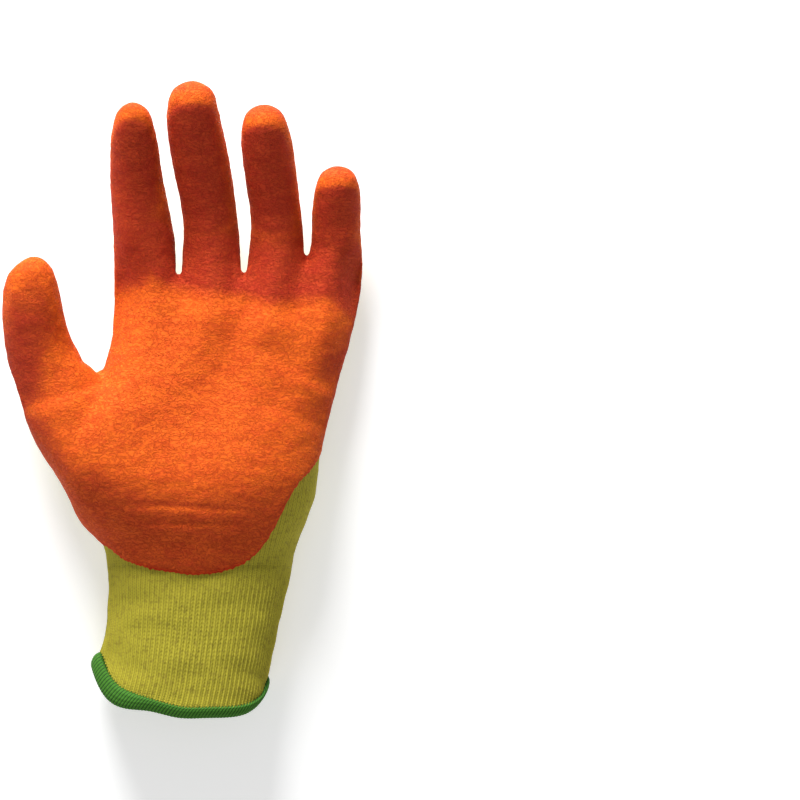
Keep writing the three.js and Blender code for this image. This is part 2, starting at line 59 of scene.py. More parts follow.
# Sizes of the glove's skin, in millimetres before it is fitted to the frame
cuffLength, cuffWidth, cuffDepth, hemWave, hemLift = 58, 70, 29, 20, 2.1
palmLength, palmWidth, palmDepth = 109, 94.3, 39.5
fingerFlatness, fingerRootHeight = 0.86, 12.8
thumbLength, thumbWidth, thumbDepth = 66.6, 24.4, 20.5
thumbAngle, thumbRoll, thumbTwist = 104, 24, 0.5
thumbRootHeight, thumbRise, thumbWeb = 18, 13, 3.5
backSettle, knitWall = 0.6, 1.6
nailTaper, coatWrap = 0.24, 2

# Roundness of the hand's sections: an ellipse has a squareness of 2
plainBox, littleBox, backBox = 2.2, 2.3, 3.2
sideHeight = 0.44  # where the sides are widest, as a share of the way up
valleyDepth, backValley = 0.17, 0.8  # between finger roots on the palm, the back's share of it
cupCentre, cupReach = 0.47, 0.2  # the palm's hollow, as shares of its width
padReach = -0.1  # lowest turn round a finger that counts as its pad, as a sine

fitRounds = 12  # passes that bring the smooth surface onto the sections
linesAcross = 9
fingerLoop, fingerStart = 8, 135  # lines round a finger, and degrees to the first
walesPerLine = 5  # knit columns between two lines of the net
courseHeight = 1.25
knitNodes = ["knit_cuff", "knit_hand", "knit_index", "knit_middle", "knit_ring",
             "knit_little", "knit_thumb"]


# Rows of a table as dictionaries with named columns
def table(columns, *rows):
    names = columns.split()
    return [dict(zip(names, row)) for row in rows]


# Sections from the hem up, as shares of the cuff's sizes. wave is the share of the hem's
# wave that is left.
cuffRows = table(
    "up width centre top wave",
    (0, 0.955, -0.012, 1.03, 1),
    (0.24, 0.921, 0.039, 1, 0.85),
    (0.78, 0.98, 0.09, 0.985, 0.15),
    (1, 1.024, 0.104, 1.015, 0),
)
# Sections from the wrist up, as shares of the palm's sizes. fan is how far the knit lines
# have spread to the fingers, cup the hollow, box the squareness of the thumb's side,
# valley how much of the finger valleys has begun, rise how much of the roots' slant.
palmRows = table(
    "up width centre top fan cup box valley rise",
    (0.083, 0.805, 0.078, 0.825, 0, 0, 2.2, 0, 0),
    (0.165, 0.928, 0.056, 0.925, 0.06, 0.02, 2.4, 0, 0),
    (0.294, 1.042, 0.039, 1, 0.2, 0.06, 3.5, 0, 0),
    (0.42, 1.05, 0.048, 0.965, 0.35, 0.1, 8, 0, 0),
    (0.545, 1.026, 0.094, 0.88, 0.52, 0.1, 8, 0, 0.1),
    (0.665, 0.98, 0.155, 0.79, 0.7, 0.07, 3.5, 0.1, 0.3),
    (0.835, 0.967, 0.219, 0.72, 0.88, 0.03, 2.2, 0.4, 0.6),
    (1, 1, 0.237, 0.66, 1, 0, 2.2, 1, 1),
)
thumbWebRow = 5  # the section that ends at the thumb's crotch
# Knit lines across the finger roots, as shares of the palm's width and length
rootLines = table(
    "across rise",
    (0.035, -0.018), (0.13, -0.009), (0.2545, 0), (0.388, 0), (0.522, 0.009),
    (0.65, 0.023), (0.779, 0.05), (0.892, 0.05), (0.973, 0.037),
)
webRises = [0.034, 0.039, 0.103]  # the crotches between the fingers
# Height of the hem's wave round the cuff: palm, little finger's side, back, thumb's side
hemShares = [0.73, 0.36, 0.19, 0.14, 0.02, 0.01, 0.02, 0.09, 0.28, 0.5,
             0.45, 0.3, 0.225, 0.2, 0.2, 0.25, 0.35, 0.55, 0.8, 0.975]
# Fingers: middle line, widths and bends to the side, as shares of their own sizes
curl = table("along lift", (0.28, 0.042), (0.56, 0.145), (0.82, 0.29), (0.95, 0.38))
tipLift = 0.42
fingers = table(
    "length width lean nail widths sides",
    (69.9, 20, -0.081, 0.66, (1.09, 0.95, 0.8, 0.56), (-0.004, -0.016, -0.011, -0.004)),
    (76.4, 20, -0.103, 0.76, (0.985, 1.005, 0.96, 0.775), (0.027, 0.018, -0.001, 0.003)),
    (65, 18.6, -0.055, 0.735, (1.01, 0.978, 0.957, 0.73), (0.028, 0.014, -0.005, -0.01)),
    (38.2, 17.5, 0.026, 0.46, (1.034, 0.977, 0.89, 0.66), (0.012, 0.012, 0.016, 0.012)),
)
# Sections of the thumb as shares of its sizes. turn is degrees off its straight line.
thumbRows = table(
    "along side turn width depth lift",
    (0.16, -0.04, 40, 1.44, 1.5, 0.03),
    (0.42, -0.09, 12, 1.05, 1.1, 0.22),
    (0.68, -0.079, -8, 0.92, 0.98, 0.59),
    (0.89, -0.04, -8, 0.72, 0.78, 0.88),
)
thumbRoot, thumbNail = {"across": -0.435, "up": 0.5}, 0.63
# The dip line on the palm, as shares of its sizes
coatEdge = table(
    "across up",
    (-0.6, 0.1), (-0.33, 0.09), (-0.25, 0.03), (-0.12, -0.014), (0.06, -0.032),
    (0.2, -0.014), (0.32, 0.046), (0.398, 0.163), (0.463, 0.27), (0.482, 0.318),
    (0.528, 0.332), (0.551, 0.376), (0.582, 0.43), (0.8, 0.55),
)
thumbFirstRow = len(cuffRows) + 2
thumbLastRow = thumbFirstRow + 3


def mix(a, b, share):
    return a + (b - a) * share


# Height of a rounded outline over the share of the way across it
def crown(share, power):
    off = min(1, abs(2 * share - 1))
    return (1 - off**power) ** (1 / power)


# Share of the way across the hand for each knit line, fanned out to the fingers
def lineShare(line, fan):
    turn = (line + 1) * math.pi / (linesAcross + 1)
    return mix((1 - math.cos(turn)) / 2, rootLines[line]["across"], fan)


# How far up the hand a line from a table runs at x
def lineHeight(rows, x):
    acrosses = [row["across"] for row in rows]
    ups = [row["up"] for row in rows]
    return cuffLength + np.interp(x / palmWidth, acrosses, ups) * palmLength


# Signed depth inside the coat on the palm and heel
def palmCoat(x, y, z, middle):
    return min(y - lineHeight(coatEdge, x), z - middle + coatWrap)


# One section of the hand: palm across, little finger's side, back, thumb's side
def handLoop(row):
    middle = mix(row["bottom"], row["top"], sideHeight)
    centre, width, top, rise = row["centre"], row["width"], row["top"], row["rise"]

    def place(line, isPalm):
        share = lineShare(line, row["fan"])
        x = centre + (share - 0.5) * width
        power = row["box"] if share < 0.5 else littleBox
        dip = row["valley"] * valleyDepth if line % 2 == 0 else 0
        hollow = row["cup"] * palmDepth * math.exp(-(((share - cupCentre) / cupReach) ** 2))
        upper = mix(middle, top, crown(share, power)) - dip * top - hollow
        lower = mix(middle, row["bottom"], crown(share, max(row["box"], backBox)))
        lower += dip * backValley * top
        index = line if isPalm else 2 * linesAcross - line
        lift = rise * rootLines[line]["rise"] * palmLength
        y = row["y"] + lift + row["wave"] * hemWave * hemShares[index]
        z = upper if isPalm else lower
        return (x, y, z, palmCoat(x, y, z, middle))

    def side(x, line, share, extra):
        y = row["y"] + rise * rootLines[line]["rise"] * palmLength + extra
        wave = row["wave"] * hemWave * share
        return (x, y + wave, middle, palmCoat(x, y, middle, middle))

    loop = [place(line, True) for line in range(linesAcross)]
    loop.append(side(centre + width / 2, linesAcross - 1, hemShares[linesAcross], 0))
    loop += [place(line, False) for line in reversed(range(linesAcross))]
    loop.append(side(centre - width / 2, 0, hemShares[-1], row["web"]))
    return loop


def handSections():
    rows = []
    plain = {"fan": 0, "cup": 0, "box": plainBox, "valley": 0, "rise": 0, "web": 0}
    for row in cuffRows:
        rows.append(plain | {
            "y": row["up"] * cuffLength, "centre": row["centre"] * cuffWidth,
            "width": row["width"] * cuffWidth, "top": row["top"] * cuffDepth,
            "bottom": row["wave"] * hemLift, "wave": row["wave"],
        })
    for i, row in enumerate(palmRows):
        rows.append(row | {
            "y": cuffLength + row["up"] * palmLength, "centre": row["centre"] * palmWidth,
            "width": row["width"] * palmWidth, "top": row["top"] * palmDepth,
            "bottom": 0, "wave": 0, "web": thumbWeb if i == thumbWebRow else 0,
        })
    return rows


# Depth inside the coat on a finger: its pad side, or past the bare patch near the tip
def fingerCoat(side, depth, along, length, nail):
    corner = max(0, -side)
    tip = (along - nail + nailTaper * (1 - corner**2)) * length
    return max(side * depth + coatWrap, tip) if side > padReach else tip


def fingerSections(finger, rootX, rootY):
    length = finger["length"]

    def line(along, lift, side):
        x = rootX + (finger["lean"] * along + side) * length
        return Vector((x, rootY + along * length, fingerRootHeight + lift * length))

    middles = [line(row["along"], row["lift"], side) for row, side in zip(curl, finger["sides"])]
    path = [line(0, 0, 0), *middles, line(1, tipLift, 0)]
    loops = []
    for i, row in enumerate(curl):
        ahead = (path[i + 2] - path[i]).normalized()
        across = (Vector((1, 0, 0)) - ahead * ahead.x).normalized()
        out = across.cross(ahead)
        halfWidth = finger["widths"][i] * finger["width"] / 2
        halfDepth = halfWidth * fingerFlatness
        loop = []
        for k in range(fingerLoop):
            turn = math.radians(fingerStart - 360 / fingerLoop * k)
            p = middles[i] + across * math.cos(turn) * halfWidth + out * math.sin(turn) * halfDepth
            coat = fingerCoat(math.sin(turn), halfDepth, row["along"], length, finger["nail"])
            loop.append((p.x, p.y, max(p.z, 0), coat))
        loops.append(loop)
    return loops, (*path[-1], (1 - finger["nail"]) * length)


def thumbSections():
    angle = math.radians(thumbAngle)
    straight = Vector((math.cos(angle), math.sin(angle), 0))
    inward = Vector((math.sin(angle), -math.cos(angle), 0))
    start = Vector((thumbRoot["across"] * palmWidth,
                    cuffLength + thumbRoot["up"] * palmLength, thumbRootHeight))
    loopLength = 2 * (thumbLastRow - thumbFirstRow + 2)

    def middleAt(along, side, lift):
        place = start + straight * along * thumbLength + inward * side * thumbLength
        return place + Vector((0, 0, lift * thumbRise))

    loops = []
    for row in thumbRows:
        turned = Matrix.Rotation(math.radians(row["turn"]), 3, "Z")
        faces, across = turned @ straight, turned @ inward
        rolled = math.radians(min(1, row["along"] / thumbTwist) * thumbRoll)
        roll = Matrix.Rotation(rolled, 3, faces)
        loop = []
        for k in range(loopLength):
            turn = math.pi - (k + 1) * 2 * math.pi / loopLength
            x = math.cos(turn) * row["width"] * thumbWidth / 2
            z = math.sin(turn) * row["depth"] * thumbDepth / 2
            p = middleAt(row["along"], row["side"], row["lift"])
            p += roll @ (across * x + Vector((0, 0, z)))
            coat = fingerCoat(math.sin(turn), thumbDepth / 2, row["along"], thumbLength, thumbNail)
            loop.append((p.x, p.y, max(p.z, 0), coat))
        loops.append(loop)
    return loops, (*middleAt(1, 0, 1), (1 - thumbNail) * thumbLength)


# The whole skin as a coarse net of four-sided faces, with knit columns and rows
def gloveNet():
    points, faces, stitches = [], [], []

    def add(loop):
        points.extend(loop)
        return list(range(len(points) - len(loop), len(points)))

    def bridge(low, high, lowCourse, highCourse, isOpen=lambda k: False):
        for k in range(len(low)):
            if isOpen(k):
                continue
            after = (k + 1) % len(low)
            left, right = k * walesPerLine, (k + 1) * walesPerLine
            faces.append([low[k], low[after], high[after], high[k]])
            stitches.append([(left, lowCourse), (right, lowCourse),
                             (right, highCourse), (left, highCourse)])

    def close(loop, tip, lowCourse, tipCourse):
        for k in range(0, len(loop), 2):
            u = [(k + step) * walesPerLine for step in range(3)]
            faces.append([loop[k], loop[k + 1], loop[(k + 2) % len(loop)], tip])
            stitches.append([(u[0], lowCourse), (u[1], lowCourse),
                             (u[2], lowCourse), (u[1], tipCourse)])

    # A finger: its loops above its base, and its tip
    def grow(base, loops, tip, courses):
        rings = [base, *[add(loop) for loop in loops]]
        for k in range(len(rings) - 1):
            bridge(rings[k], rings[k + 1], courses[k], courses[k + 1])
        close(rings[-1], add([tip])[0], courses[-2], courses[-1])

    def coursesUp(rows, length, start):
        alongs = [0, *[row["along"] for row in rows], 1]
        return [start + along * length / courseHeight for along in alongs]

    sections = handSections()
    rows = [add(handLoop(row)) for row in sections]
    thumbSide = 2 * linesAcross + 1
    for r in range(len(rows) - 1):
        inThumb = thumbFirstRow <= r < thumbLastRow
        low, high = sections[r]["y"] / courseHeight, sections[r + 1]["y"] / courseHeight
        bridge(rows[r], rows[r + 1], low, high, lambda k: inThumb and k >= thumbSide - 1)

    root = rows[-1]
    webs = []
    for i, rise in enumerate(webRises):
        x = points[root[2 * (i + 1)]][0]
        webs += add([(x, cuffLength + (1 + rise) * palmLength, fingerRootHeight, coatWrap)])
    sides = [root[thumbSide], *webs, root[linesAcross]]
    rootCourse = sections[-1]["y"] / courseHeight
    for i, finger in enumerate(fingers):
        line = 2 * i
        back = 2 * linesAcross - line
        base = [root[line], root[line + 1], root[line + 2], sides[i + 1],
                root[back - 2], root[back - 1], root[back], sides[i]]
        loops, tip = fingerSections(finger, *points[root[line + 1]][:2])
        grow(base, loops, tip, coursesUp(curl, finger["length"], rootCourse))

    block = range(thumbFirstRow, thumbLastRow + 1)
    base = [*[rows[r][0] for r in block], rows[thumbLastRow][thumbSide],
            *[rows[r][thumbSide - 1] for r in reversed(block)], rows[thumbFirstRow][thumbSide]]
    loops, tip = thumbSections()
    grow(base, loops, tip, coursesUp(thumbRows, thumbLength, 0))

    crotches = np.array([points[v][:3] for v in [*webs, rows[thumbLastRow][thumbSide]]])
    used, numbered = np.unique(np.array(faces), return_inverse=True)
    return np.array(points)[used], numbered.reshape(-1, 4), np.array(stitches, float), crotches


# The matrix that takes a net's points to where they land on its smooth surface
def limitMatrix(count, faces):
    near = [set() for _ in range(count)]
    far = [[] for _ in range(count)]
    seen = {}
    for face in faces.tolist():
        for k, a in enumerate(face):
            b = face[(k + 1) % 4]
            near[a].add(b)
            near[b].add(a)
            far[a].append(face[(k + 2) % 4])
            key = (min(a, b), max(a, b))
            seen[key] = seen.get(key, 0) + 1
    rim = {}
    for (a, b), times in seen.items():
        if times == 1:
            rim.setdefault(a, []).append(b)
            rim.setdefault(b, []).append(a)
    matrix = np.zeros((count, count))
    for v in range(count):
        if v in rim:
            matrix[v, v] = 4 / 6
            matrix[v, rim[v]] = 1 / 6
            continue
        n = len(near[v])
        matrix[v, v] = n * n
        matrix[v, list(near[v])] += 4
        np.add.at(matrix[v], far[v], 1)
        matrix[v] /= n * (n + 5)
    return matrix


netPoints, netFaces, netStitches, crotches = gloveNet()
landing = limitMatrix(len(netPoints), netFaces)
cage = netPoints.copy()
for _ in range(fitRounds):
    cage += netPoints - landing @ cage
cageMesh = bpy.data.meshes.new("cage")
cageMesh.from_pydata(cage[:, :3].tolist(), [], netFaces.tolist())
cageMesh.uv_layers.new(name="knit").data.foreach_set("uv", netStitches.ravel())
dipCorners = np.stack([cage[netFaces.ravel(), 3], np.zeros(netFaces.size)], axis=1)
cageMesh.uv_layers.new(name="dip").data.foreach_set("uv", dipCorners.ravel())
cageObject = bpy.data.objects.new("cage", cageMesh)
bpy.context.scene.collection.objects.link(cageObject)
rounding = cageObject.modifiers.new("rounding", "SUBSURF")
rounding.use_limit_surface = True
rounding.uv_smooth = "PRESERVE_BOUNDARIES"
rounding.boundary_smooth = "ALL"


def normalsOf(points, faces):
    corners = points[faces]
    across = np.cross(corners[:, 2] - corners[:, 0], corners[:, 3] - corners[:, 1])
    normals = np.zeros_like(points)
    for k in range(4):
        np.add.at(normals, faces[:, k], across)
    return normals / np.maximum(np.linalg.norm(normals, axis=1, keepdims=True), 1e-12)


def smoothStep(values):
    values = np.clip(values, 0, 1)
    return values * values * (3 - 2 * values)


# Slack folds of the palm and wrist: from one end to the other as shares of the palm's
# width and length, how deep they are, and how far they reach to the cuff and the tips
creaseEndFade, palmFrom, palmOver = 5, 0.1, 0.7
creases = table(
    "fromAcross fromUp toAcross toUp depth below above",
    (-0.11, 0.215, 0.22, 0.2, 0.3, 0.8, 1.4),
    (-0.09, 0.15, 0.2, 0.146, 0.26, 0.8, 1.4),
    (-0.13, 1, -0.05, 0.99, 1.2, 6, 15),
    (0.04, 0.985, 0.21, 0.97, 2.8, 7, 18),
    (0.29, 0.945, 0.47, 0.93, 3, 7, 19),
    (0.54, 0.94, 0.62, 0.95, 1.6, 6, 15),
    (-0.63, 0.575, -0.33, 0.655, 1.7, 3.5, 13),
    (0.36, 0.76, 0.62, 0.64, 1, 4, 9),
    (0.38, 0.57, 0.58, 0.5, 1, 4, 9),
    (-0.3, 0, 0.05, -0.055, 0.8, 4, 4.5),
    (0.05, -0.055, 0.34, 0.01, 0.8, 4, 4.5),
)


def onHand(across, up):
    return np.array([across * palmWidth, cuffLength + up * palmLength])


def creased(points, normals):
    depth = np.zeros(len(points))
    for crease in creases:
        start = onHand(crease["fromAcross"], crease["fromUp"])
        end = onHand(crease["toAcross"], crease["toUp"])
        line = end - start
        reach = np.linalg.norm(line)
        offset = points[:, :2] - start
        along = offset @ line / reach
        beside = (offset[:, 1] * line[0] - offset[:, 0] * line[1]) / reach
        beyond = np.maximum(np.maximum(-along, along - reach), 0)
        wide = np.where(beside > 0, crease["above"], crease["below"])
        dent = np.exp(-((beside / wide) ** 2) - (beyond / creaseEndFade) ** 2) * crease["depth"]
        depth = np.maximum(depth, dent)
    onPalm = smoothStep((normals[:, 2] - palmFrom) / palmOver)
    return points - normals * (depth * onPalm)[:, None]


# Crotches rounded from a point to a U: half its width, and how soon it opens. Further up
# the U fades out again.
crotchShapes = table("wide tall", (1.5, 2), (1.5, 2), (1.3, 2), (2.2, 3))
crotchFadeFrom, crotchFadeOver = 10, 12
# Small moves of what lies near a place
nudges = table(
    "x y reach moveX moveY",
    (-36.6, 138.3, 3.4, -1.2, -1.2),
    (-25, 153, 9, -1, 0),
)


def rounded(points):
    moved = points.copy()
    for nudge in nudges:
        off = points[:, :2] - (nudge["x"], nudge["y"])
        near = np.exp(-((off**2).sum(axis=1) / nudge["reach"] ** 2))
        moved[:, 0] += near * nudge["moveX"]
        moved[:, 1] += near * nudge["moveY"]
    for crotch, shape in zip(crotches, crotchShapes):
        up = np.clip((moved[:, 1] - crotch[1]) / shape["tall"], 0, 1)
        fade = 1 - smoothStep((moved[:, 1] - crotch[1] - crotchFadeFrom) / crotchFadeOver)
        gap = shape["wide"] * np.sqrt(1 - (1 - up) ** 2) * fade
        aside = moved[:, 0] - crotch[0]
        moved[:, 0] = crotch[0] + np.sign(aside) * (aside**4 + gap**4) ** 0.25
    return moved


# The smooth skin at a level of fineness, in design millimetres
def skinAt(level):
    rounding.levels = level
    graph = bpy.context.evaluated_depsgraph_get()
    evaluated = cageObject.evaluated_get(graph)
    mesh = bpy.data.meshes.new_from_object(evaluated, preserve_all_data_layers=True, depsgraph=graph)
    points = np.zeros(len(mesh.vertices) * 3)
    mesh.vertices.foreach_get("co", points)
    points = points.reshape(-1, 3)
    points[:, 2] = np.maximum(points[:, 2] - backSettle, 0)
    faces = np.zeros(len(mesh.loops), int)
    mesh.loops.foreach_get("vertex_index", faces)
    layers = {}
    for name in ("knit", "dip"):
        layer = np.zeros(len(mesh.loops) * 2)
        mesh.uv_layers[name].data.foreach_get("uv", layer)
        layers[name] = layer.reshape(-1, 2)
    dip, knit = np.zeros(len(points)), np.zeros((len(points), 2))
    dip[faces] = layers["dip"][:, 0]
    knit[faces] = layers["knit"]
    faces = faces.reshape(-1, 4)
    bpy.data.meshes.remove(mesh)
    points = rounded(points)
    points = creased(points, normalsOf(points, faces))
    return {"points": points, "faces": faces, "dip": dip, "knit": knit,
            "corners": layers["knit"].reshape(-1, 4, 2), "normals": normalsOf(points, faces)}


fine = 4
skin = skinAt(fine)
print("skin", len(skin["points"]), "points")

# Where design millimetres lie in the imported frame
knitBoxes = [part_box(node) for node in knitNodes]
knitLow = np.min([low for low, high in knitBoxes], axis=0)
knitHigh = np.max([high for low, high in knitBoxes], axis=0)
skinLow, skinHigh = skin["points"].min(axis=0), skin["points"].max(axis=0)
unit = (knitHigh[1] - knitLow[1]) / (skinHigh[1] - skinLow[1])
origin = (knitLow + knitHigh) / 2 - (skinLow + skinHigh) / 2 * unit
origin[2] = 0


def toFrame(points):
    placed = np.asarray(points) * unit + origin
    placed[:, 2] = np.maximum(placed[:, 2], 0)
    return placed


# Smooth noise of about that size in millimetres, stretched along x by a share
def unevenness(points, size, stretch=1.0, seed=0.0):
    scaled = points / np.array([size * stretch, size, size]) + seed
    return np.array([noise.noise(Vector(p)) for p in scaled.tolist()])


# A shown mesh from design points and faces, with its layers of corner values
def addPiece(name, points, faces, layers, finish):
    mesh = bpy.data.meshes.new(name)
    mesh.from_pydata(toFrame(points).tolist(), [], [list(face) for face in faces])
    for layer, values in layers.items():
        mesh.uv_layers.new(name=layer).data.foreach_set("uv", np.asarray(values, float).ravel())
    mesh.polygons.foreach_set("use_smooth", [True] * len(mesh.polygons))
    mesh.materials.append(finish)
    mesh.update()
    made = bpy.data.objects.new(name, mesh)
    bpy.context.scene.collection.objects.link(made)
    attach(made, "root")
    return made


# Shader helpers
def addNode(tree, kind, inputs=(), **settings):
    made = tree.nodes.new(kind)
    for key, value in settings.items():
        setattr(made, key, value)
    for key, value in dict(inputs).items():
        if isinstance(value, bpy.types.NodeSocket):
            tree.links.new(value, made.inputs[key])
        else:
            made.inputs[key].default_value = value
    return made


def calc(tree, operation, a, b=0.0, c=0.0):
    return addNode(tree, "ShaderNodeMath", {0: a, 1: b, 2: c}, operation=operation).outputs[0]


def ramp(tree, value, low, high):
    inputs = {"Value": value, "From Min": low, "From Max": high}
    return addNode(tree, "ShaderNodeMapRange", inputs, interpolation_type="SMOOTHSTEP").outputs[0]


def blendColours(tree, factor, a, b):
    return addNode(tree, "ShaderNodeMix", {0: factor, 6: a, 7: b}, data_type="RGBA").outputs[2]


def colour(red, green, blue):
    linear = [((c / 255 + 0.055) / 1.055) ** 2.4 if c > 10 else c / 255 / 12.92
              for c in (red, green, blue)]
    return (*linear, 1)


def newGroup(name, inputs, outputs):
    tree = bpy.data.node_groups.new(name, "ShaderNodeTree")
    for label, kind in inputs:
        tree.interface.new_socket(label, in_out="INPUT", socket_type="NodeSocket" + kind)
    for label, kind in outputs:
        tree.interface.new_socket(label, in_out="OUTPUT", socket_type="NodeSocket" + kind)
    return tree, tree.nodes.new("NodeGroupInput"), tree.nodes.new("NodeGroupOutput")


def newMaterial(name):
    made = bpy.data.materials.new(name)
    made.use_nodes = True
    tree = made.node_tree
    return made, tree, tree.nodes["Principled BSDF"]


def useGroup(tree, group, inputs):
    return addNode(tree, "ShaderNodeGroup", inputs, node_tree=group)


# Knit face: each column is a chain of V-shaped loops. Stitch is (column, row).
knitLoop = {"legPlace": 0.9, "slant": 0.75, "lowest": 0.4, "gapFrom": 0.42, "gapTo": 0.05}


def stitchGroup():
    tree, given, result = newGroup(
        "stitch", [("Stitch", "Vector")], [("Height", "Float"), ("Gap", "Float")])
    parts = addNode(tree, "ShaderNodeSeparateXYZ", {0: given.outputs["Stitch"]})
    column = calc(tree, "FRACT", parts.outputs["X"])
    fromMiddle = calc(tree, "ABSOLUTE", calc(tree, "SUBTRACT", column, 0.5))
    side = calc(tree, "MULTIPLY", fromMiddle, 2)
    off = calc(tree, "SUBTRACT", calc(tree, "MULTIPLY", side, 2), knitLoop["legPlace"])
    leg = calc(tree, "SUBTRACT", 1, calc(tree, "POWER", calc(tree, "ABSOLUTE", off), 2))
    slanted = calc(tree, "MULTIPLY_ADD", side, knitLoop["slant"], parts.outputs["Y"])
    wave = calc(tree, "COSINE", calc(tree, "MULTIPLY", slanted, 2 * math.pi))
    loop = calc(tree, "MULTIPLY_ADD", wave, 0.5, 0.5)
    crest = calc(tree, "MULTIPLY_ADD", loop, 1 - knitLoop["lowest"], knitLoop["lowest"])
    height = calc(tree, "MULTIPLY", leg, crest)
    # the low ground between the loops, which gets painted shade
    gap = ramp(tree, height, knitLoop["gapFrom"], knitLoop["gapTo"])
    tree.links.new(height, result.inputs["Height"])
    tree.links.new(gap, result.inputs["Gap"])
    return tree


# Crinkled latex: fine folds that run across the hand over a softer unevenness
crinkles = {
    "perMetre": (620, 1150, 900),
    "folds": {"Scale": 0.8, "Detail": 3, "Roughness": 0.6, "Distortion": 0.6},
    "foldWidth": 0.07,
    "foldDepth": 0.45,
    "soft": {"Scale": 0.19, "Detail": 2, "Distortion": 0.4},
    "softHeight": 0.9,
    "mottle": (0.4, 0.62),
}


def crinkleGroup():
    tree, given, result = newGroup(
        "crinkle", [("Place", "Vector")],
        [("Height", "Float"), ("Fold", "Float"), ("Mottle", "Float")])
    stretched = addNode(tree, "ShaderNodeMapping",
                        {"Vector": given.outputs["Place"], "Scale": crinkles["perMetre"]})
    place = {"Vector": stretched.outputs[0]}
    folds = addNode(tree, "ShaderNodeTexNoise", place | crinkles["folds"]).outputs[0]
    soft = addNode(tree, "ShaderNodeTexNoise", place | crinkles["soft"]).outputs[0]
    crest = calc(tree, "ABSOLUTE", calc(tree, "SUBTRACT", folds, 0.5))
    # where the folds lie: it sinks the bump there and places the painted shade in them
    foldShade = ramp(tree, crest, crinkles["foldWidth"], 0.0)
    height = calc(tree, "MULTIPLY_ADD", foldShade, -crinkles["foldDepth"], folds)
    height = calc(tree, "MULTIPLY_ADD", soft, crinkles["softHeight"], height)
    tree.links.new(height, result.inputs["Height"])
    tree.links.new(foldShade, result.inputs["Fold"])
    tree.links.new(ramp(tree, soft, *crinkles["mottle"]), result.inputs["Mottle"])
    return tree


stitch, crinkle = stitchGroup(), crinkleGroup()
yarnLook = {
    "lit": colour(178, 167, 52),
    # painted shade between the stitch loops
    "gap": colour(108, 100, 30),
    "fleck": colour(158, 146, 48),
    "gapShadeShare": 0.6,
    "fleckScale": 620,
    "fleckRange": (0.5, 0.7),
    "roughness": 0.92,
    "specular": 0.2,
    "bump": 0.5,
    "depth": 0.0004,
}
latexLook = {
    "top": colour(230, 100, 30),
    # painted shade in the crinkle folds, a darker red that the random mottle also blends toward
    "foldShade": colour(190, 48, 26),
    # painted shade: the deeper red of the finger pads, the slopes that face the cuff and the tips
    "paintedShade": colour(170, 28, 38),
    "rim": colour(205, 46, 22),
    "foldShadeShare": 0.42,
    "mottleShare": 0.25,
    "paintedShadeShare": 0.6,
    "rimShare": 0.6,
    "rimRange": (2.2, 0.3),  # millimetres inside the dip line
    "roughness": 0.65,
    "specular": 0.06,
    "bump": 0.9,
    "depth": 0.0005,
}
threadLook = {
    "lit": colour(66, 122, 36),
    # painted shade between the turns of thread
    "gap": colour(14, 40, 18),
    "gapShadeShare": 0.85,
    "gapRange": (-0.2, -0.95),
    "strands": 60,
    "roughness": 0.82,
    "specular": 0.2,
    "bump": 0.2,
    "depth": 0.0003,
}


# Colour, bump and gloss of a finish, set on its Principled shader
def finishShader(tree, shader, look, shade, height):
    bumpInputs = {"Strength": look["bump"], "Distance": look["depth"], "Height": height}
    bump = addNode(tree, "ShaderNodeBump", bumpInputs)
    tree.links.new(shade, shader.inputs["Base Color"])
    tree.links.new(bump.outputs[0], shader.inputs["Normal"])
    shader.inputs["Roughness"].default_value = look["roughness"]
    shader.inputs["Specular IOR Level"].default_value = look["specular"]


def knitMaterial():
    made, tree, shader = newMaterial("knit_yarn")
    stitches = addNode(tree, "ShaderNodeUVMap", uv_map="knit")
    pattern = useGroup(tree, stitch, {"Stitch": stitches.outputs[0]})
    place = addNode(tree, "ShaderNodeTexCoord")
    flecks = addNode(tree, "ShaderNodeTexNoise",
                     {"Vector": place.outputs["Object"], "Scale": yarnLook["fleckScale"], "Detail": 2})
    fleck = ramp(tree, flecks.outputs[0], *yarnLook["fleckRange"])
    yarn = blendColours(tree, fleck, yarnLook["lit"], yarnLook["fleck"])
    # painted shade in the gaps between loops
    gap = calc(tree, "MULTIPLY", pattern.outputs["Gap"], yarnLook["gapShadeShare"])
    shade = blendColours(tree, gap, yarn, yarnLook["gap"])
    finishShader(tree, shader, yarnLook, shade, pattern.outputs["Height"])
    return made


def latexMaterial():
    made, tree, shader = newMaterial("latex_coat")
    place = addNode(tree, "ShaderNodeTexCoord")
    skinned = useGroup(tree, crinkle, {"Place": place.outputs["Object"]})
    # the dip layer holds the depth inside the dip line and the amount of painted shade
    depth = addNode(tree, "ShaderNodeUVMap", uv_map="dip")
    dip = addNode(tree, "ShaderNodeSeparateXYZ", {0: depth.outputs[0]})
    masks = {
        "foldShade": skinned.outputs["Fold"],
        "mottle": skinned.outputs["Mottle"],
        "paintedShade": dip.outputs["Y"],
        "rim": ramp(tree, dip.outputs["X"], *latexLook["rimRange"]),
    }
    # the fold tint and the deeper red are painted shade; the mottle takes the fold tint at random
    body = latexLook["top"]
    for name, tint in (("foldShade", "foldShade"), ("mottle", "foldShade"), ("paintedShade", "paintedShade"), ("rim", "rim")):
        share = calc(tree, "MULTIPLY", masks[name], latexLook[name + "Share"])
        body = blendColours(tree, share, body, latexLook[tint])
    finishShader(tree, shader, latexLook, body, skinned.outputs["Height"])
    return made


